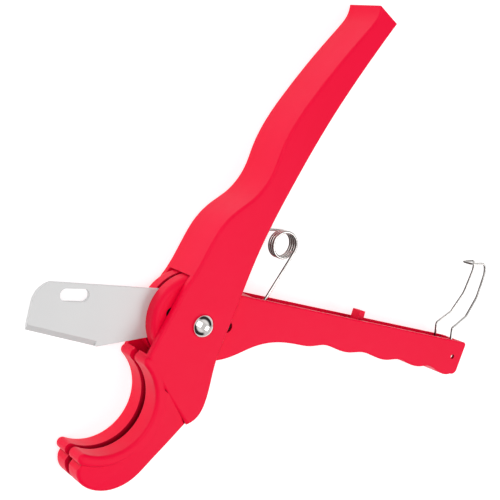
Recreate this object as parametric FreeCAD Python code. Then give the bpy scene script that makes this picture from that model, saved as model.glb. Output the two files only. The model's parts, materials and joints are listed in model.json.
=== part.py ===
import FreeCAD, Part
import math
import os

# Pipe cutter lying on its side, millimetres.
# Origin: on the pivot axis, at the side it lies on. +Z is the pivot axis, +X points along the lever.

# Driving dimensions.
BODY_WIDTH = 23.0            # body casting, face to face
MID = BODY_WIDTH / 2         # middle plane, where the blade runs
CHEEK = 3.1                  # thickness of each cheek
WEB = 2.6                    # thickness of the handle channel's back
EDGE = 1.1                   # rounding of the castings' outer edges

PIPE_R = 21.0                # saddle radius: takes a 42 mm pipe
PIPE_X, PIPE_Y = -42.8, -25.4
RIM = 4.6                    # raised rim along the saddle
JAW_RELIEF = 0.11            # how far the lower jaw's sides fall back, per mm out from the rim
HOOK_RELIEF = 0.045          # and per mm towards the hook's end
HOOK_RELIEF_X = -31.0        # where that starts
HOOK_END_X = -70.0           # past the hook's end
JAW_REACH = 50.0             # past the jaw's farthest point, from the saddle's axis
JAW_ROUND = 1.32             # rounding of the lower jaw's edges
SLOT = 3.9                   # blade slot through the jaw
HORN_DEG = 42.0              # upper end of the saddle
HOOK_DEG = -119.0            # lower end of the saddle

LEVER_WIDTH = 16.0
LEVER_WALL = 1.8
LEVER_LOW = MID - LEVER_WIDTH / 2
LEVER_HIGH = MID + LEVER_WIDTH / 2
LEVER_SLOPE = math.radians(-18.6)
LEVER_TOP = 15.1             # the lever's top line, from the pivot
LEVER_END = 153.0            # along the lever, from the pivot
CHANNEL_FLOOR = 3.0          # height of the channel's floor over the lever's datum line
CHANNEL_END = 149.0          # along the lever
TAB = 5.2                    # width of the stop that stands up from the channel
TAB_TOP = 19.0
HEAD_R = 19.6                # discs that hold the blade
HEAD_X, HEAD_Y = -1.2, 1.0
HEAD_SPACE = 21.4            # room for the head between the cheeks
HEAD_ROUND = 2.6             # rounding of the discs' rims

BLADE = 2.0                  # blade thickness
PIVOT_R = 3.0
RUNNING = 0.05               # radial clearance of a turning fit
DOME_R = 4.8
DOME_HEIGHT = 2.3
DOME_BASE = 0.8              # straight edge under the dome
TAIL_RECESS = 1.6            # recess for the rivet's closed end
WASHER = 0.8

SCREW_AT = ((-12.4, 6.4), (13.5, -3.5))
SCREW_R = 1.5
SCREW_HEAD_R = 2.45
SCREW_HEAD = 2.4
SCREW_SINK = 1.0             # head below the lever's face
NUT_FLATS = 5.0
NUT = 2.0

SPRING_X, SPRING_Y = 46.6, 26.05
SPRING_R = 5.75              # mean radius of the coil
SPRING_WIRE = 0.64           # wire radius
SPRING_PITCH = 1.55          # leaves room for one half to turn against the other

BAIL_X, BAIL_Y = 140.9, -39.8
BAIL_WIRE = 0.55             # wire radius
BAIL_HALF = 5.55             # leg's centre line from the middle plane, at the hinge
BAIL_TIP = 1.65              # from there to the wire's end, in the lever's wall
PIN_SINK = 1.0               # depth of the wider hole around that end
PIN_SINK_R = 1.05

V = FreeCAD.Vector
OUT = "parts"


# Helpers.
def flat(points):
    return [V(x, y, 0) for x, y in points]


def line(a, b):
    return Part.makeLine(V(*a, 0), V(*b, 0))


def curve(points):
    spline = Part.BSplineCurve()
    spline.interpolate(flat(points))
    return spline.toShape()


def arc(cx, cy, r, start_deg, end_deg):
    def at(deg):
        a = math.radians(deg)
        return V(cx + r * math.cos(a), cy + r * math.sin(a), 0)
    return Part.Arc(at(start_deg), at((start_deg + end_deg) / 2), at(end_deg)).toShape()


def on_arc(cx, cy, r, deg):
    a = math.radians(deg)
    return (cx + r * math.cos(a), cy + r * math.sin(a))


def plate(edges, low, high):
    face = Part.Face(Part.Wire(edges))
    if face.normalAt(0, 0).z < 0:
        face.reverse()
    face.translate(V(0, 0, low))
    solid = Part.Solid(face.extrude(V(0, 0, high - low)).Shells[0])
    if solid.Volume < 0:
        solid.reverse()
    return solid


def polygon(points, low, high):
    closed = list(points) + [points[0]]
    return plate([line(closed[i], closed[i + 1]) for i in range(len(points))], low, high)


def cylinder(x, y, r, low, high):
    return Part.makeCylinder(r, high - low, V(x, y, low))


def hexagon(x, y, flats, low, high):
    r = flats / math.sqrt(3)
    return polygon([on_arc(x, y, r, 60 * i) for i in range(6)], low, high)


def rounded(shape, low, high, radius):
    rims = []
    for edge in shape.Edges:
        box = edge.BoundBox
        if box.ZLength < 1e-4 and min(abs(box.ZMin - low), abs(box.ZMin - high)) < 1e-4:
            rims.append(edge)
    return shape.makeFillet(radius, rims)


def wire_tube(points, radii, r):
    edges = []
    previous = V(*points[0])
    for i in range(1, len(points) - 1):
        corner = V(*points[i])
        back = (V(*points[i - 1]) - corner).normalize()
        ahead = (V(*points[i + 1]) - corner).normalize()
        half = back.getAngle(ahead) / 2
        reach = radii[i - 1] / math.tan(half)
        first = corner + back * reach
        last = corner + ahead * reach
        middle_dir = (back + ahead).normalize()
        middle = corner + middle_dir * (radii[i - 1] / math.sin(half) - radii[i - 1])
        if (first - previous).Length > 1e-4:
            edges.append(Part.makeLine(previous, first))
        edges.append(Part.Arc(first, middle, last).toShape())
        previous = last
    edges.append(Part.makeLine(previous, V(*points[-1])))
    path = Part.Wire(edges)
    start = V(*points[0])
    heading = (V(*points[1]) - start).normalize()
    section = Part.Wire([Part.makeCircle(r, start, heading)])
    return path.makePipeShell([section], True, False)


def lever_point(u, w):
    c, s = math.cos(LEVER_SLOPE), math.sin(LEVER_SLOPE)
    return (u * c - w * s, u * s + w * c)


def one_solid(shape):
    shape = shape.removeSplitter()
    solids = sorted(shape.Solids, key=lambda s: -s.Volume)
    return solids[0]


def save(name, shape):
    shape.exportStep(os.path.join(OUT, name + ".step"))
    print(name, "valid", shape.isValid(), "solids", len(shape.Solids), "volume %.0f" % shape.Volume)


# Body casting: upper handle, cheeks and split hook jaw.
BACK = [(-6.8, 18.0), (3.6, 32.2), (9.3, 39.7), (16.6, 45.5), (24.8, 49.9), (30.7, 54.9),
        (35.0, 61.1), (38.2, 68.1), (43.6, 77.1), (55.7, 91.1), (70.7, 105.9), (82.9, 116.9),
        (87.3, 121.6), (89.0, 126.3)]
OPEN_SIDE = [(98.0, 118.5), (83.8, 103.2), (62.1, 77.6), (43.7, 52.3), (27.8, 27.3), (13.1, -2.3),
             (6.1, -17.3), (1.9, -31.2), (-1.9, -38.1), (-8.0, -41.2)]
STEP_TOP = (-16.6, -26.3)
JAW_BOTTOM = [(-8.0, -41.2), (-15.9, -47.0), (-25.4, -54.2), (-33.0, -59.7), (-41.4, -61.9),
              (-49.9, -60.2), (-56.0, -55.0), (-56.6, -50.1)]
JAW_ROOT = (-12.0, -30.0)
BACK_NORMAL = (0.806, -0.592)    # into the web, at its lower end
CHANNEL_SIDE = [(95.0, 103.0), (40.0, -12.0), (5.0, -21.6), (0.0, 0.0)]
SLOT_OUTLINE = [(-2.0, -16.0), (-5.0, -21.6), (-15.0, -38.8), (-17.4, -41.2), (-42.5, -61.6),
                (-46.0, -67.0), (-67.0, -67.0), (-67.0, 6.0), (-20.0, 6.0)]


def side_plate():
    ridge = on_arc(PIPE_X, PIPE_Y, PIPE_R + 3.2, HORN_DEG)
    edges = [curve(BACK), line(BACK[-1], OPEN_SIDE[0]), curve(OPEN_SIDE), line(OPEN_SIDE[-1], STEP_TOP),
             line(STEP_TOP, ridge), line(ridge, BACK[0])]
    return rounded(plate(edges, 0, BODY_WIDTH), 0, BODY_WIDTH, EDGE)


def saddle_rim():
    middle, half = PIPE_R + RIM / 2, RIM / 2
    top, bottom = HORN_DEG - 5, HOOK_DEG
    bulge = math.degrees(half / PIPE_R) * 0.92
    ends = []
    for deg, side in ((bottom, -1), (top, 1)):
        radii = (middle - side * half, middle, middle + side * half)
        turns = (deg, deg + side * bulge, deg)
        points = [on_arc(PIPE_X, PIPE_Y, r, t) for r, t in zip(radii, turns)]
        ends.append(Part.Arc(*flat(points[::side])).toShape())
    edges = [arc(PIPE_X, PIPE_Y, PIPE_R + RIM, bottom, top), ends[1],
             arc(PIPE_X, PIPE_Y, PIPE_R, top, bottom), ends[0]]
    return rounded(plate(edges, 0, BODY_WIDTH), 0, BODY_WIDTH, EDGE * 1.3)


def lower_jaw():
    inside = PIPE_R + 1.5
    start, end = HOOK_DEG + 3, 10
    edges = [arc(PIPE_X, PIPE_Y, inside, start, end), line(on_arc(PIPE_X, PIPE_Y, inside, end), JAW_ROOT),
             line(JAW_ROOT, JAW_BOTTOM[0]), curve(JAW_BOTTOM),
             line(JAW_BOTTOM[-1], on_arc(PIPE_X, PIPE_Y, inside, start))]
    shape = plate(edges, 0, BODY_WIDTH)
    for relief in jaw_relief():
        shape = shape.cut(relief)
    rims = [edge for edge in shape.Edges if is_jaw_rim(edge)]
    return shape.makeFillet(JAW_ROUND, rims)


def relief_section(corners):
    points = [V(x, 0, z) for x, z in corners]
    return Part.Face(Part.makePolygon(points + points[:1]))


def jaw_relief():
    reliefs = []
    near = PIPE_R + RIM + 0.2
    for face, inward in ((BODY_WIDTH, -1), (0, 1)):
        slant = face + inward * JAW_RELIEF * (JAW_REACH - near)
        cone = relief_section([(near, face), (JAW_REACH, slant), (JAW_REACH, face)])
        cone = cone.revolve(V(0, 0, 0), V(0, 0, 1), 360)
        cone.translate(V(PIPE_X, PIPE_Y, 0))
        slant = face + inward * HOOK_RELIEF * (HOOK_RELIEF_X - HOOK_END_X)
        wedge = relief_section([(HOOK_RELIEF_X, face), (HOOK_END_X, slant), (HOOK_END_X, face)])
        wedge = wedge.extrude(V(0, JAW_REACH, 0))
        wedge.translate(V(0, PIPE_Y - PIPE_R - JAW_REACH / 2, 0))
        reliefs += [cone, wedge]
    return reliefs


def is_jaw_rim(edge):
    across = edge.BoundBox.ZLength > BODY_WIDTH / 4
    sliver = edge.Length < 1.0
    if across or sliver:
        return False
    middle = edge.valueAt((edge.FirstParameter + edge.LastParameter) / 2)
    out = math.hypot(middle.x - PIPE_X, middle.y - PIPE_Y)
    return out > PIPE_R + RIM + 3.5 and middle.x < JAW_BOTTOM[0][0]


def inner_space():
    low, high = CHEEK, BODY_WIDTH - CHEEK
    back = [(x + WEB * BACK_NORMAL[0], y + WEB * BACK_NORMAL[1]) for x, y in BACK[:-2]]
    corners = [back[-1]] + CHANNEL_SIDE + [back[0]]
    sides = [line(corners[i], corners[i + 1]) for i in range(len(corners) - 1)]
    channel = plate([curve(back)] + sides, low, high)
    head = cylinder(0, 0, HEAD_SPACE, low, high)
    wall = PIPE_R + RIM - 0.4
    top, bottom = HORN_DEG + 14, -6
    corners = [on_arc(PIPE_X, PIPE_Y, wall, bottom), (2.0, -21.9), (0, 0), on_arc(PIPE_X, PIPE_Y, wall, top)]
    sides = [line(corners[i], corners[i + 1]) for i in range(len(corners) - 1)]
    behind = plate([arc(PIPE_X, PIPE_Y, wall, top, bottom)] + sides, low, high)
    return [channel, head, behind]


def blade_slot():
    low, high = MID - SLOT / 2, MID + SLOT / 2
    return polygon(SLOT_OUTLINE, low, high)


def body_casting():
    pieces = [side_plate(), saddle_rim(), lower_jaw()]
    hollowed = [piece.cut(inner_space()).cut(blade_slot()) for piece in pieces]
    shape = hollowed[0].fuse(hollowed[1:])
    shape = shape.cut(cylinder(0, 0, PIVOT_R, -1, BODY_WIDTH + 1))
    shape = shape.cut(cylinder(0, 0, DOME_R + 0.5, -1, TAIL_RECESS))
    return one_solid(shape)


# Lever casting: lower handle and blade-holding head.
FINGER_SIDE = [(13.7, -13.8), (22.2, -10.2), (30.8, -5.2), (40.1, -2.0), (52.0, -1.0), (60.6, -0.6),
               (67.8, 1.0), (75.5, 0.1), (83.0, -0.2), (90.2, 1.0), (98.5, 0.0), (106.0, -0.4),
               (113.0, 0.9), (121.0, -0.4), (127.5, -0.5), (133.0, 0.5), (140.5, -1.4), (148.4, -1.2)]


def lever_profile(low, high):
    top = [lever_point(14.0, LEVER_TOP), lever_point(LEVER_END - 1.4, LEVER_TOP)]
    corner = lever_point(LEVER_END, LEVER_TOP - 1.4)
    foot = lever_point(LEVER_END - 1.2, 2.0)
    under = [lever_point(u, w) for u, w in FINGER_SIDE]
    corner_mid = lever_point(LEVER_END - 0.4, LEVER_TOP - 0.4)
    foot_mid = lever_point(LEVER_END - 1.9, -0.2)
    edges = [line(top[0], top[1]),
             Part.Arc(V(*top[1], 0), V(*corner_mid, 0), V(*corner, 0)).toShape(),
             line(corner, foot),
             Part.Arc(V(*foot, 0), V(*foot_mid, 0), V(*under[-1], 0)).toShape(),
             curve(under[::-1]), line(under[0], (0.0, -15.0)), line((0.0, -15.0), (0.0, 14.0)),
             line((0.0, 14.0), top[0])]
    return plate(edges, low, high)


def lever_channel():
    low, high = LEVER_LOW + LEVER_WALL, LEVER_HIGH - LEVER_WALL
    open_top = LEVER_TOP + 8
    outline = [(24.0, -1.8), (30.0, -1.8), (38.0, 0.5), (60.0, 2.4), (70.0, CHANNEL_FLOOR),
               (CHANNEL_END, CHANNEL_FLOOR), (CHANNEL_END, open_top), (24.0, open_top)]
    return polygon([lever_point(u, w) for u, w in outline], low, high)


def stop_tab():
    foot = CHANNEL_FLOOR - 1.0
    points = [lever_point(u, w) for u, w in ((86.0, foot), (86.4, TAB_TOP), (89.6, TAB_TOP), (90.2, foot))]
    return polygon(points, MID - TAB / 2, MID + TAB / 2)


def lever_casting():
    shape = rounded(lever_profile(LEVER_LOW, LEVER_HIGH), LEVER_LOW, LEVER_HIGH, EDGE * 0.7)
    head = rounded(cylinder(HEAD_X, HEAD_Y, HEAD_R, LEVER_LOW, LEVER_HIGH), LEVER_LOW, LEVER_HIGH, HEAD_ROUND)
    shape = shape.cut(lever_channel())
    shape = shape.fuse([head, stop_tab()])
    gap = polygon([(-30, -30), (20.5, -30), (20.5, 30), (-30, 30)], MID - BLADE / 2, MID + BLADE / 2)
    shape = shape.cut(gap)
    shape = shape.cut(cylinder(0, 0, PIVOT_R + RUNNING, 0, BODY_WIDTH))
    for x, y in SCREW_AT:
        sink = LEVER_HIGH - SCREW_SINK - SCREW_HEAD
        shape = shape.cut(cylinder(x, y, SCREW_R, 0, BODY_WIDTH))
        shape = shape.cut(cylinder(x, y, SCREW_HEAD_R + 0.1, sink, BODY_WIDTH))
        shape = shape.cut(hexagon(x, y, NUT_FLATS, 0, LEVER_LOW + SCREW_SINK + NUT))
    shape = shape.cut(cylinder(BAIL_X, BAIL_Y, BAIL_WIRE + RUNNING, 0, BODY_WIDTH))
    shape = shape.cut(cylinder(BAIL_X, BAIL_Y, PIN_SINK_R, 0, LEVER_LOW + PIN_SINK))
    shape = shape.cut(cylinder(BAIL_X, BAIL_Y, PIN_SINK_R, LEVER_HIGH - PIN_SINK, BODY_WIDTH))
    return one_solid(shape)


# Blade and what holds it.
BLADE_TIP = (-71.5, 7.6)
BLADE_POINT = (-42.6, -4.1)
BLADE_NOSE = (-68.6, 17.6)
BLADE_CROWN = (-60.4, 24.9)
BEVEL = 2.2                  # ground width of the cutting edge
CUTTING_EDGE = 0.12          # half the thickness left at the very edge
HANG_SLOT = (-51.0, 18.2)
HANG_LENGTH, HANG_HEIGHT, HANG_TURN = 12.4, 5.2, -10.0


def blade():
    crown = [BLADE_NOSE, (-65.8, 22.4), BLADE_CROWN]
    corners = [BLADE_CROWN, (-14.0, 15.2), (19.5, 8.0), (19.5, -9.0), (-14.0, -4.1), BLADE_POINT, BLADE_TIP]
    edges = [line(BLADE_TIP, BLADE_NOSE), Part.Arc(*flat(crown)).toShape()]
    edges += [line(corners[i], corners[i + 1]) for i in range(len(corners) - 1)]
    shape = plate(edges, MID - BLADE / 2, MID + BLADE / 2)
    for side in (-1, 1):
        shape = shape.cut(edge_bevel(side))
    shape = shape.cut(hang_slot())
    shape = shape.cut(cylinder(0, 0, PIVOT_R + RUNNING, 0, BODY_WIDTH))
    for x, y in SCREW_AT:
        shape = shape.cut(cylinder(x, y, SCREW_R, 0, BODY_WIDTH))
    return one_solid(shape)


def edge_bevel(side):
    dx, dy = BLADE_POINT[0] - BLADE_TIP[0], BLADE_POINT[1] - BLADE_TIP[1]
    lead, sharp, face = -8.0, side * CUTTING_EDGE, side * BLADE / 2
    section = [V(lead, 0, sharp), V(lead, BEVEL, face), V(lead, 0, face + side), V(lead, -3, face + side),
               V(lead, -3, sharp), V(lead, 0, sharp)]
    wedge = Part.Face(Part.makePolygon(section)).extrude(V(math.hypot(dx, dy) - lead - 0.8, 0, 0))
    wedge.rotate(V(0, 0, 0), V(0, 0, 1), math.degrees(math.atan2(dy, dx)))
    wedge.translate(V(*BLADE_TIP, MID))
    return wedge


def hang_slot():
    half = (HANG_LENGTH - HANG_HEIGHT) / 2
    low, high = MID - BLADE, MID + BLADE
    box = Part.makeBox(2 * half, HANG_HEIGHT, high - low, V(-half, -HANG_HEIGHT / 2, low))
    ends = [cylinder(x, 0, HANG_HEIGHT / 2, low, high) for x in (-half, half)]
    tool = box.fuse(ends)
    tool.rotate(V(0, 0, 0), V(0, 0, 1), HANG_TURN)
    tool.translate(V(*HANG_SLOT, 0))
    return tool


def pivot_rivet():
    base = BODY_WIDTH + DOME_BASE
    shank = cylinder(0, 0, PIVOT_R, WASHER, BODY_WIDTH)
    tail = cylinder(0, 0, DOME_R - 0.6, 0, WASHER)
    rim = cylinder(0, 0, DOME_R, BODY_WIDTH, base)
    ball = (DOME_R ** 2 + DOME_HEIGHT ** 2) / (2 * DOME_HEIGHT)
    dome = Part.makeSphere(ball, V(0, 0, base + DOME_HEIGHT - ball))
    dome = dome.common(cylinder(0, 0, DOME_R + 2, base, base + DOME_HEIGHT + 1))
    return one_solid(shank.fuse([tail, rim, dome]))


def pivot_washer():
    ring = cylinder(0, 0, DOME_R + 0.3, WASHER, TAIL_RECESS)
    return one_solid(ring.cut(cylinder(0, 0, PIVOT_R, 0, TAIL_RECESS + 1)))


def blade_screws():
    screws = []
    for x, y in SCREW_AT:
        top = LEVER_HIGH - SCREW_SINK
        head = cylinder(x, y, SCREW_HEAD_R, top - SCREW_HEAD, top)
        head = head.cut(hexagon(x, y, 2.5, top - 1.4, top + 1))
        shank = cylinder(x, y, SCREW_R, LEVER_LOW + SCREW_SINK, top - SCREW_HEAD + 0.2)
        screws.append(one_solid(head.fuse(shank)))
    return Part.makeCompound(screws)


def blade_nuts():
    nuts = []
    for x, y in SCREW_AT:
        low = LEVER_LOW + SCREW_SINK
        nut = hexagon(x, y, NUT_FLATS - 0.1, low, low + NUT)
        nuts.append(one_solid(nut.cut(cylinder(x, y, SCREW_R, 0, BODY_WIDTH))))
    return Part.makeCompound(nuts)


# Torsion spring: two halves of one wire, which turn about the coil's axis.
UPPER_SEAT = (14.6, 37.0)
LOWER_SEAT = (26.6, -8.2)
UPPER_TURNS = 2.0            # whole turns wound on the upper arm, past the part turn between the legs
LOWER_TURNS = 1.0


def leaves_at(seat, side):
    dx, dy = seat[0] - SPRING_X, seat[1] - SPRING_Y
    return math.degrees(math.atan2(dy, dx) + side * math.acos(SPRING_R / math.hypot(dx, dy)))


def coil(start_deg, turns, low):
    path = Part.makeHelix(SPRING_PITCH, SPRING_PITCH * turns, SPRING_R, 0, True)
    path.rotate(V(0, 0, 0), V(0, 0, 1), start_deg)
    path.translate(V(SPRING_X, SPRING_Y, low))
    start = V(*on_arc(SPRING_X, SPRING_Y, SPRING_R, start_deg), low)
    turn = math.radians(start_deg)
    section = Part.Wire([Part.makeCircle(SPRING_WIRE, start, V(math.sin(turn), -math.cos(turn), 0))])
    return Part.Wire(path.Edges).makePipeShell([section], True, True)


def leg(seat, deg, z):
    x, y = on_arc(SPRING_X, SPRING_Y, SPRING_R, deg)
    span = V(seat[0] - x, seat[1] - y, 0)
    return [Part.makeCylinder(SPRING_WIRE, span.Length, V(x, y, z), span),
            Part.makeSphere(SPRING_WIRE, V(x, y, z)), Part.makeSphere(SPRING_WIRE, V(*seat, z))]


def part_turn():
    return ((leaves_at(UPPER_SEAT, -1) - leaves_at(LOWER_SEAT, 1)) % 360) / 360


def coil_height():
    return SPRING_PITCH * (UPPER_TURNS + LOWER_TURNS + part_turn())


def spring_upper():
    leaves, low = leaves_at(UPPER_SEAT, -1), MID - coil_height() / 2
    wound = coil(leaves, UPPER_TURNS + part_turn(), low)
    return one_solid(wound.multiFuse(leg(UPPER_SEAT, leaves, low)))


def spring_lower():
    leaves, high = leaves_at(LOWER_SEAT, 1), MID + coil_height() / 2
    wound = coil(leaves, LOWER_TURNS, high - SPRING_PITCH * LOWER_TURNS)
    return one_solid(wound.multiFuse(leg(LOWER_SEAT, leaves, high)))


# Latch bail.
def latch_bail():
    half = [(BAIL_X, BAIL_Y, BAIL_HALF + BAIL_TIP), (BAIL_X, BAIL_Y, BAIL_HALF), (142.1, -26.2, BAIL_HALF),
            (151.2, -21.8, 5.2), (158.4, -13.4, 4.6), (163.6, -2.0, 4.0), (163.6, 2.5, 3.6),
            (155.4, 3.3, 3.0)]
    near = [(x, y, MID + z) for x, y, z in half]
    far = [(x, y, MID - z) for x, y, z in reversed(half)]
    radii = [0.9, 2.0, 3.5, 14.0, 9.0, 2.0, 1.7]
    return wire_tube(near + far, radii + radii[::-1], BAIL_WIRE)


# Build.
def main():
    os.makedirs(OUT, exist_ok=True)
    for make in (body_casting, lever_casting, blade, pivot_rivet, pivot_washer, blade_screws, blade_nuts,
                 spring_upper, spring_lower, latch_bail):
        save(make.__name__, make())


main()
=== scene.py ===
import json
import math

import bmesh
import bpy
from mathutils import Matrix, Vector


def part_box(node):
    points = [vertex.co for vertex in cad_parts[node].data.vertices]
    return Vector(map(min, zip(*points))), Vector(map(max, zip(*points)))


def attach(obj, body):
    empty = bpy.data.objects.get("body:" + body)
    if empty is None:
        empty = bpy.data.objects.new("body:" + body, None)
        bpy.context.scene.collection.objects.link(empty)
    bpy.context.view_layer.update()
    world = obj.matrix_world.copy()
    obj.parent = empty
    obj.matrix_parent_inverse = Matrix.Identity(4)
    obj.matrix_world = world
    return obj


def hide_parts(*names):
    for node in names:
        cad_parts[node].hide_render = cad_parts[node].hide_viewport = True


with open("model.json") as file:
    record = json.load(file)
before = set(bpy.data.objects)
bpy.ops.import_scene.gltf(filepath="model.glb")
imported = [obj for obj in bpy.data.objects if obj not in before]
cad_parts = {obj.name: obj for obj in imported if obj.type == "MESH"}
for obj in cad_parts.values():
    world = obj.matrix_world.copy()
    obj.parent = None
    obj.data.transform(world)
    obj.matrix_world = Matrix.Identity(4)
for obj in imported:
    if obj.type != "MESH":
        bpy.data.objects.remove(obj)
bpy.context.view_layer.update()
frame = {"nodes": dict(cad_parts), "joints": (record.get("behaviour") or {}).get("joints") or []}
joints = {joint["name"]: joint for joint in frame["joints"]}
nodes = frame["nodes"]
mm = 0.001


def pivotOf(name):
    return Vector(joints[name]["pos_m"])


# the view: the tool lies on its side, seen from above the hook
camera = {
    "place": (-0.2218, 0.1360, 0.4037),
    "right": (0.8415, 0.0, 0.5403),
    "up": (0.1245, 0.9731, -0.1939),
    "lens": 81.5,
}


def makeCamera():
    right = Vector(camera["right"]).normalized()
    up = Vector(camera["up"]).normalized()
    back = right.cross(up).normalized()
    data = bpy.data.cameras.new("viewCamera")
    data.lens = camera["lens"]
    data.clip_start = 0.01
    data.clip_end = 20
    viewCamera = bpy.data.objects.new("viewCamera", data)
    turn = Matrix((right, back.cross(right), back)).transposed()
    viewCamera.matrix_world = Matrix.Translation(camera["place"]) @ turn.to_4x4()
    bpy.context.scene.collection.objects.link(viewCamera)
    bpy.context.scene.camera = viewCamera
    bpy.context.scene.view_settings.view_transform = "Standard"
    print("camera made")


class Wire:  # an output socket that takes + - * and abs, with numbers or other outputs
    def __init__(self, finish, socket):
        self.finish = finish
        self.socket = socket

    def sum(self, operation, first, second):
        return self.finish.node("ShaderNodeMath", {"operation": operation}, {0: first, 1: second})[0]

    def __add__(self, other):
        return self.sum("ADD", self, other)

    def __radd__(self, other):
        return self.sum("ADD", other, self)

    def __sub__(self, other):
        return self.sum("SUBTRACT", self, other)

    def __rsub__(self, other):
        return self.sum("SUBTRACT", other, self)

    def __mul__(self, other):
        return self.sum("MULTIPLY", self, other)

    def __rmul__(self, other):
        return self.sum("MULTIPLY", other, self)

    def __abs__(self):
        return self.sum("ABSOLUTE", self, 0.0)


class Finish:  # one material's node tree, or the world's
    def __init__(self, owner):
        self.owner = owner
        owner.use_nodes = True
        self.tree = owner.node_tree
        self.tree.nodes.clear()

    def node(self, kind, settings=None, sockets=None):
        made = self.tree.nodes.new(kind)
        for name, value in (settings or {}).items():
            if name == "stops":
                self.setStops(made.color_ramp, value)
            else:
                setattr(made, name, value)
        for name, value in (sockets or {}).items():
            if isinstance(value, Wire):
                self.tree.links.new(value.socket, made.inputs[name])
            else:
                made.inputs[name].default_value = value
        return [Wire(self, socket) for socket in made.outputs]

    def setStops(self, ramp, stops):
        while len(ramp.elements) < len(stops):
            ramp.elements.new(0.5)
        for element, (position, colour) in zip(ramp.elements, stops):
            element.position = position
            element.color = (*colour, 1) if len(colour) == 3 else colour

    def place(self):
        return self.node("ShaderNodeTexCoord")[3]

    def noise(self, scale, detail=2.0, vector=None):
        sockets = {"Vector": vector or self.place(), "Scale": scale, "Detail": detail}
        return self.node("ShaderNodeTexNoise", {}, sockets)[0]

    def between(self, value, low, high):
        sockets = {"Value": value, "From Min": low, "From Max": high}
        return self.node("ShaderNodeMapRange", {"interpolation_type": "SMOOTHSTEP"}, sockets)[0]

    def blend(self, factor, first, second):
        colours = [c if isinstance(c, Wire) else (*c, 1) for c in (first, second)]
        sockets = {0: factor, 6: colours[0], 7: colours[1]}
        return self.node("ShaderNodeMix", {"data_type": "RGBA"}, sockets)[2]

    def bump(self, height, strength, distance, normal=None):
        sockets = {"Height": height, "Strength": strength, "Distance": distance}
        if normal is not None:
            sockets["Normal"] = normal
        return self.node("ShaderNodeBump", {}, sockets)[0]

    def softEdge(self, radius):
        return self.node("ShaderNodeBevel", {"samples": 3}, {"Radius": radius})[0]

    def surface(self, **sockets):
        named = {name.replace("_", " "): value for name, value in sockets.items()}
        shader = self.node("ShaderNodeBsdfPrincipled", {}, named)[0]
        self.node("ShaderNodeOutputMaterial", {}, {"Surface": shader})
        return self.owner


def newFinish(name):
    return Finish(bpy.data.materials.new(name))


# a light tent: pale near the floor, a dark band above it for bright metal to pick up, pale overhead
studio = {
    "tent": [(0.0, 0.8), (0.19, 0.8), (0.26, 0.03), (0.58, 0.03), (0.72, 0.9), (1.0, 1.0)],
    "between": 0.68,              # how pale the tent is between its two dark sides
    "darkSide": (0.45, 0.8),      # where the dark sides start, and where they are full
    "floor": (0.62, 0.62, 0.625),
    "floorGlow": 0.62,
    "floorReach": 4.0,
    "lights": {  # place, size and power
        "keyLight": ((-0.45, 0.3, 0.9), 0.7, 3.8),
        "sheenLight": ((0.5, -0.35, 0.8), 0.5, 2.2),
    },
}


def makeStudio():
    world = bpy.data.worlds.new("studio")
    bpy.context.scene.world = world
    sky = Finish(world)
    across, along, height = sky.node("ShaderNodeSeparateXYZ", {}, {0: sky.node("ShaderNodeTexCoord")[0]})
    stops = [(position, (shade,) * 3) for position, shade in studio["tent"]]
    shade = sky.node("ShaderNodeValToRGB", {"stops": stops}, {0: height})[0]
    side = sky.between(abs(across + along), *studio["darkSide"])
    shade = sky.blend(side, (studio["between"],) * 3, shade)
    background = sky.node("ShaderNodeBackground", {}, {"Color": shade, "Strength": 1.0})[0]
    sky.node("ShaderNodeOutputWorld", {}, {"Surface": background})
    for name, (place, size, power) in studio["lights"].items():
        data = bpy.data.lights.new(name, "AREA")
        data.size = size
        data.energy = power
        light = bpy.data.objects.new(name, data)
        light.location = place
        light.rotation_mode = "QUATERNION"
        light.rotation_quaternion = (-Vector(place)).to_track_quat("-Z", "Y")
        bpy.context.scene.collection.objects.link(light)
    bm = bmesh.new()
    bmesh.ops.create_grid(bm, x_segments=1, y_segments=1, size=studio["floorReach"])
    floorMesh = bpy.data.meshes.new("floor")
    bm.to_mesh(floorMesh)
    bm.free()
    floor = bpy.data.objects.new("floor", floorMesh)
    bpy.context.scene.collection.objects.link(floor)
    paper = newFinish("floorPaper")
    floor.data.materials.append(paper.surface(
        Base_Color=(*studio["floor"], 1), Roughness=0.7 + 0.1 * paper.noise(60.0),
        Emission_Color=(1, 1, 1, 1), Emission_Strength=studio["floorGlow"]))
    print("studio made")


# powder-coated castings: faint clouds, a few specks, orange peel, and painted shade darkening the
# recesses
redPaint = {
    "colour": (0.92, 0.0015, 0.046),
    "deep": (0.86, 0.0008, 0.034),
    # painted shade: the colour the paint is darkened to in recesses
    "recess": (0.1, 0.0, 0.0005),
    "recessReach": 14 * mm,
    "recessSpan": (0.12, 0.72),
    "roughness": 0.4,
    "roughnessChange": 0.12,
    "shine": 0.11,
    "cloudScale": 28.0,
    "speckScale": 1500.0,
    "speckSpan": (0.66, 0.76),
    "patchScale": 260.0,
    "peelScale": 900.0,
    "swellScale": 90.0,
    "peel": (0.22, 0.1 * mm),
    "edge": 0.35 * mm,
}


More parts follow.
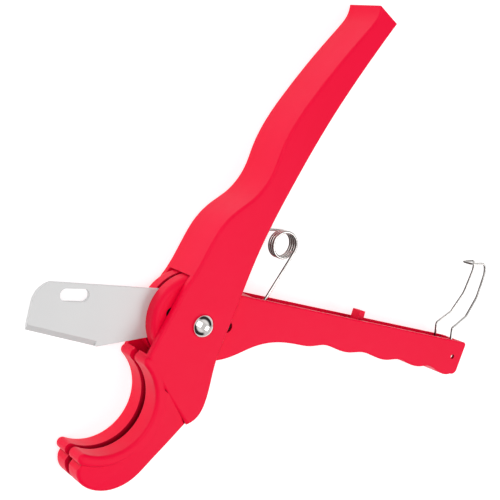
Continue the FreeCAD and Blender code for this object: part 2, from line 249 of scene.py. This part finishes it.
def makeRedPaint(name):
    paint = newFinish(name)
    cloud = paint.noise(redPaint["cloudScale"], 3.0)
    colour = paint.blend(cloud, redPaint["deep"], redPaint["colour"])
    specks = paint.between(paint.noise(redPaint["speckScale"], 1.0), *redPaint["speckSpan"])
    colour = paint.blend(specks * 0.5, colour, redPaint["deep"])
    # painted shade: ambient occlusion darkens the paint towards the recess colour in hollows and crevices
    openness = paint.node("ShaderNodeAmbientOcclusion", {"samples": 6, "only_local": True},
                          {"Distance": redPaint["recessReach"]})[1]
    recess = paint.between(openness, *redPaint["recessSpan"])
    colour = paint.blend(recess, redPaint["recess"], colour)
    patches = paint.noise(redPaint["patchScale"], 3.0) - 0.5
    rough = redPaint["roughness"] + redPaint["roughnessChange"] * patches
    peel = paint.noise(redPaint["peelScale"], 2.0) + 0.5 * paint.noise(redPaint["swellScale"], 1.0)
    normal = paint.bump(peel, *redPaint["peel"], paint.softEdge(redPaint["edge"]))
    return paint.surface(Base_Color=colour, Roughness=rough, Normal=normal,
                         Specular_IOR_Level=redPaint["shine"])


# plain and plated steel: fine lines across the part, and faint clouds
steels = {
    "groundBlade": {"colour": (0.66, 0.66, 0.66), "metal": 0.3, "roughness": 0.5, "scratch": 0.12,
                    "stretch": (16, 1, 1)},
    "rivetPlate": {"colour": (0.84, 0.8, 0.78), "metal": 1.0, "roughness": 0.08, "scratch": 0.05,
                   "stretch": (1, 1, 1)},
    "washerSteel": {"colour": (0.6, 0.6, 0.61), "metal": 1.0, "roughness": 0.3, "scratch": 0.1,
                    "stretch": (1, 1, 1)},
}
steelGrain = {
    "turn": math.radians(-22),
    "lineScale": 420.0,
    "cloudScale": 60.0,
    "darkest": 0.92,
    "bump": (0.12, 0.03 * mm),
    "edge": 0.12 * mm,
}


def makeSteel(name):
    look = steels[name]
    steel = newFinish(name)
    lines = steel.node("ShaderNodeMapping", {}, {"Vector": steel.place(), "Scale": look["stretch"],
                                                 "Rotation": (0, 0, steelGrain["turn"])})[0]
    grain = steel.noise(steelGrain["lineScale"], 5.0, vector=lines)
    cloud = steel.noise(steelGrain["cloudScale"], 3.0)
    rough = look["roughness"] + look["scratch"] * (grain + cloud - 1.0)
    dark = [part * steelGrain["darkest"] for part in look["colour"]]
    tone = steel.blend(0.5 * grain + 0.5 * cloud, dark, look["colour"])
    normal = steel.bump(grain, *steelGrain["bump"], steel.softEdge(steelGrain["edge"]))
    return steel.surface(Base_Color=tone, Metallic=look["metal"], Roughness=rough, Normal=normal)


blackOxide = {
    "dark": (0.012, 0.012, 0.014),
    "light": (0.03, 0.03, 0.033),
    "mottleScale": 700.0,
    "metal": 0.6,
    "roughness": (0.35, 0.2),
    "bump": (0.2, 0.05 * mm),
    "edge": 0.1 * mm,
}


def makeBlack(name):
    black = newFinish(name)
    mottle = black.noise(blackOxide["mottleScale"], 3.0)
    tone = black.blend(mottle, blackOxide["dark"], blackOxide["light"])
    least, change = blackOxide["roughness"]
    normal = black.bump(mottle, *blackOxide["bump"], black.softEdge(blackOxide["edge"]))
    return black.surface(Base_Color=tone, Metallic=blackOxide["metal"], Roughness=least + change * mottle,
                         Normal=normal)


# wire: bright along its back, with painted shade and reflection darkening its sides, the left more than
# the right
shadedWire = {
    "bright": (0.66, 0.64, 0.62),
    # painted shade and reflection: the colour the wire's flanks are darkened to
    "dark": (0.05, 0.038, 0.035),
    "leftSide": (0.3, 0.72, 0.92),   # where the dark starts, where it is full, and how dark it is
    "rightSide": (0.5, 0.95, 0.6),
    "shadeEdgeScale": 160.0,
    "fineScale": 1300.0,
    "roughness": 0.2,
    "darkRoughness": 0.15,
    "fineRoughness": 0.1,
    "bump": (0.15, 0.03 * mm),
}


def makeShadedWire(name):
    wire = newFinish(name)
    # painted shade and reflection: the wire's left flank is darkened strongly and its right flank less,
    # by which way the surface faces
    facing = wire.node("ShaderNodeAttribute", {"attribute_name": "side"})[2]
    shadeEdgeNoise = wire.noise(shadedWire["shadeEdgeScale"], 3.0)
    ragged = facing + 0.5 * (shadeEdgeNoise - 0.5)
    leftStart, leftFull, leftDepth = shadedWire["leftSide"]
    rightStart, rightFull, rightDepth = shadedWire["rightSide"]
    dark = leftDepth * wire.between(0 - ragged, leftStart, leftFull)
    dark = dark + rightDepth * wire.between(ragged, rightStart, rightFull)
    tone = wire.blend(dark, shadedWire["bright"], shadedWire["dark"])
    fine = wire.noise(shadedWire["fineScale"], 3.0)
    rough = shadedWire["roughness"] + shadedWire["darkRoughness"] * dark
    rough = rough + shadedWire["fineRoughness"] * (fine - 0.5)
    normal = wire.bump(fine, *shadedWire["bump"])
    return wire.surface(Base_Color=tone, Metallic=1.0, Roughness=rough, Normal=normal)


def dress(node, material):
    mesh = nodes[node].data
    mesh.materials.clear()
    mesh.materials.append(material)


# how finely the new pieces are made; endSteps are the reach and width of a wire's rounded end
meshing = {
    "weld": 0.002 * mm,
    "sharpFrom": math.radians(35),
    "wireSides": 14,
    "bendStep": 7,
    "coilSteps": 44,
    "endSteps": ((0.45, 0.9), (0.35, 0.62)),
}


def finishPiece(name, bm, material, body, node):
    bmesh.ops.remove_doubles(bm, verts=bm.verts, dist=meshing["weld"])
    bmesh.ops.recalc_face_normals(bm, faces=bm.faces)
    for face in bm.faces:
        face.smooth = True
    bm.normal_update()
    # the attribute 'side' is the normal's x; the wire finish paints shade on a wire's flanks from it
    side = bm.verts.layers.float.new("side")  # which side of a wire a point is on
    for vert in bm.verts:
        vert[side] = vert.normal.x
    mesh = bpy.data.meshes.new(name)
    bm.to_mesh(mesh)
    bm.free()
    mesh.set_sharp_from_angle(angle=meshing["sharpFrom"])
    mesh.materials.append(material)
    piece = bpy.data.objects.new(name, mesh)
    bpy.context.scene.collection.objects.link(piece)
    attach(piece, body)
    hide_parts(node)
    print(name, "made,", len(mesh.polygons), "faces")


# wire bent by extruding a round section along its runs and spinning it round its corners
def startWire(bm, place, heading, radius):
    turn = heading.to_track_quat("Z", "Y").to_matrix().to_4x4()
    section = bmesh.ops.create_circle(bm, segments=meshing["wireSides"], radius=radius,
                                      matrix=Matrix.Translation(place) @ turn)
    return list(dict.fromkeys(edge for vert in section["verts"] for edge in vert.link_edges))


def loopVerts(loop):
    return list(dict.fromkeys(vert for edge in loop for vert in edge.verts))


def capEnd(bm, loop, outward, radius):
    for reach, size in meshing["endSteps"]:
        made = bmesh.ops.extrude_edge_only(bm, edges=loop)["geom"]
        loop = [item for item in made if isinstance(item, bmesh.types.BMEdge)
                and all(vert in made for vert in item.verts)]
        verts = loopVerts(loop)
        centre = sum((vert.co for vert in verts), Vector()) / len(verts)
        bmesh.ops.scale(bm, vec=(size,) * 3, verts=verts, space=Matrix.Translation(-centre))
        bmesh.ops.translate(bm, vec=outward * reach * radius, verts=verts)
    bmesh.ops.contextual_create(bm, geom=loop)


def runWire(bm, loop, span):
    made = bmesh.ops.extrude_edge_only(bm, edges=loop)["geom"]
    verts = [item for item in made if isinstance(item, bmesh.types.BMVert)]
    bmesh.ops.translate(bm, vec=span, verts=verts)
    return [item for item in made if isinstance(item, bmesh.types.BMEdge)
            and all(vert in verts for vert in item.verts)]


def spinWire(bm, loop, centre, axis, angle, steps, rise=0.0):
    made = bmesh.ops.spin(bm, geom=loop, cent=centre, axis=axis, dvec=Vector((0, 0, rise / steps)),
                          angle=angle, steps=steps, use_merge=False, use_duplicate=False)["geom_last"]
    return [item for item in made if isinstance(item, bmesh.types.BMEdge)]


def bendWire(bm, loop, points, radii):
    here = points[0]
    for before, corner, after, radius in zip(points, points[1:], points[2:], radii):
        inward, onward = (corner - before).normalized(), (after - corner).normalized()
        angle = inward.angle(onward)
        reach = radius * math.tan(angle / 2)
        first = corner - inward * reach
        loop = runWire(bm, loop, first - here)
        axis = inward.cross(onward).normalized()
        centre = first + axis.cross(inward) * radius
        steps = max(3, round(math.degrees(angle) / meshing["bendStep"]))
        loop = spinWire(bm, loop, centre, axis, angle, steps)
        here = corner + onward * reach
    return runWire(bm, loop, points[-1] - here)


spring = {
    "radius": 5.75 * mm,
    "wire": 0.64 * mm,
    "pitch": 1.55 * mm,
    "lowerSeat": (26.6 * mm, -8.2 * mm),
    "upperTurns": 2.0,
    "lowerTurns": 1.0,
}


def leaveAngle(seat, side):  # where the straight leg leaves the coil
    across = seat - pivotOf("spring_coil")
    return math.atan2(across.y, across.x) + side * math.acos(spring["radius"] / across.to_2d().length)


def makeSpring(material):
    coil = pivotOf("spring_coil")
    upperSeat = pivotOf("spring_seat")
    lowerSeat = Vector((*spring["lowerSeat"], 0))
    upper, lower = leaveAngle(upperSeat, -1), leaveAngle(lowerSeat, 1)
    partTurn = (upper - lower) % (2 * math.pi) / (2 * math.pi)
    height = spring["pitch"] * (spring["upperTurns"] + spring["lowerTurns"] + partTurn)
    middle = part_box("spring_upper")[0][2] + spring["wire"] + height / 2
    halves = (("springUpper", "spring_arm_upper", "spring_upper", upperSeat, upper, middle - height / 2,
               spring["upperTurns"] + partTurn, 1),
              ("springLower", "spring_arm_lower", "spring_lower", lowerSeat, lower, middle + height / 2,
               spring["lowerTurns"], -1))
    for name, body, node, seat, leave, level, turns, way in halves:
        bm = bmesh.new()
        end = Vector((seat.x, seat.y, level))
        across, along = spring["radius"] * math.cos(leave), spring["radius"] * math.sin(leave)
        touch = Vector((coil.x + across, coil.y + along, level))
        span = touch - end
        loop = startWire(bm, end, span.normalized(), spring["wire"])
        capEnd(bm, loop, -span.normalized(), spring["wire"])
        loop = runWire(bm, loop, span)
        steps = round(meshing["coilSteps"] * turns)
        rise = way * spring["pitch"] * turns
        loop = spinWire(bm, loop, coil, Vector((0, 0, -way)), 2 * math.pi * turns, steps, rise)
        bmesh.ops.contextual_create(bm, geom=loop)
        finishPiece(name, bm, material, body, node)


bail = {
    "wire": 0.55 * mm,
    "tip": 1.65,
    "half": [(0.0, 0.0, 5.55), (1.2, 13.6, 5.55), (10.3, 18.0, 5.2), (17.5, 26.4, 4.6), (22.7, 37.8, 4.0),
             (22.7, 42.3, 3.6), (14.5, 43.1, 3.0)],  # from the hinge, to the tip's cross run
    "bends": [0.9, 2.0, 3.5, 14.0, 9.0, 2.0, 1.7],
}


def makeBail(material):
    hinge = pivotOf("bail_hinge")
    half = [(0.0, 0.0, bail["half"][0][2] + bail["tip"])] + bail["half"]
    near = [hinge + Vector(point) * mm for point in half]
    far = [hinge + Vector((x, y, -z)) * mm for x, y, z in reversed(half)]
    points = near + far
    bm = bmesh.new()
    heading = (points[1] - points[0]).normalized()
    loop = startWire(bm, points[0], heading, bail["wire"])
    bmesh.ops.contextual_create(bm, geom=loop)
    bends = [bend * mm for bend in bail["bends"]]
    loop = bendWire(bm, loop, points, bends + bends[::-1])
    bmesh.ops.contextual_create(bm, geom=loop)
    finishPiece("latchBail", bm, material, "bail", "latch_bail")


def lathe(bm, profile, centre, steps=72):
    verts = [bm.verts.new((centre.x + radius * mm, centre.y, level * mm)) for radius, level in profile]
    edges = [bm.edges.new(pair) for pair in zip(verts, verts[1:])]
    bmesh.ops.spin(bm, geom=verts + edges, cent=centre, axis=(0, 0, 1), dvec=(0, 0, 0),
                   angle=2 * math.pi, steps=steps, use_merge=True, use_duplicate=False)


rivet = {  # radii and heights in mm
    "shank": 3.0,
    "head": 4.8,
    "tail": 4.2,
    "tailDepth": 0.8,
    "face": 23.0,
    "rim": 0.8,
    "crown": 2.3,
    "corner": 0.12,
    "domeInset": 0.998,  # keeps the dome's edge just inside the head
    "domeSteps": (0.985, 0.94, 0.86, 0.76, 0.64, 0.5, 0.36, 0.22, 0.1),
}


def makeRivet(material):
    face, rim, head, crown = rivet["face"], rivet["rim"], rivet["head"], rivet["crown"]
    tail, depth, corner = rivet["tail"], rivet["tailDepth"], rivet["corner"]
    closedEnd = [(0.0, 0.0), (0.6, 0.05), (1.4, 0.0), (tail - 0.25, 0.0), (tail - 0.07, 0.07),
                 (tail, 0.25), (tail, depth)]
    shank = [(rivet["shank"], depth), (rivet["shank"], face)]
    rimLine = [(head - corner, face), (head - 0.03, face + 0.05), (head, face + 0.14),
               (head, face + rim - corner)]
    ball = (head ** 2 + crown ** 2) / (2 * crown)
    sweep = math.asin(head / ball)
    base = face + rim + crown - ball
    dome = [(ball * math.sin(sweep * share) * rivet["domeInset"], base + ball * math.cos(sweep * share))
            for share in rivet["domeSteps"]]
    profile = closedEnd + shank + rimLine + dome + [(0.0, face + rim + crown)]
    bm = bmesh.new()
    lathe(bm, profile, pivotOf("lever_hinge"))
    finishPiece("pivotRivet", bm, material, "body", "pivot_rivet")


makeCamera()
makeStudio()
dress("body_casting", makeRedPaint("bodyPaint"))
dress("lever_casting", makeRedPaint("leverPaint"))
dress("blade", makeSteel("groundBlade"))
dress("pivot_washer", makeSteel("washerSteel"))
dress("blade_screws", makeBlack("screwBlack"))
dress("blade_nuts", makeBlack("nutBlack"))
print("castings, blade and screws finished")
makeSpring(makeShadedWire("springSteel"))
makeBail(makeShadedWire("bailSteel"))
makeRivet(makeSteel("rivetPlate"))
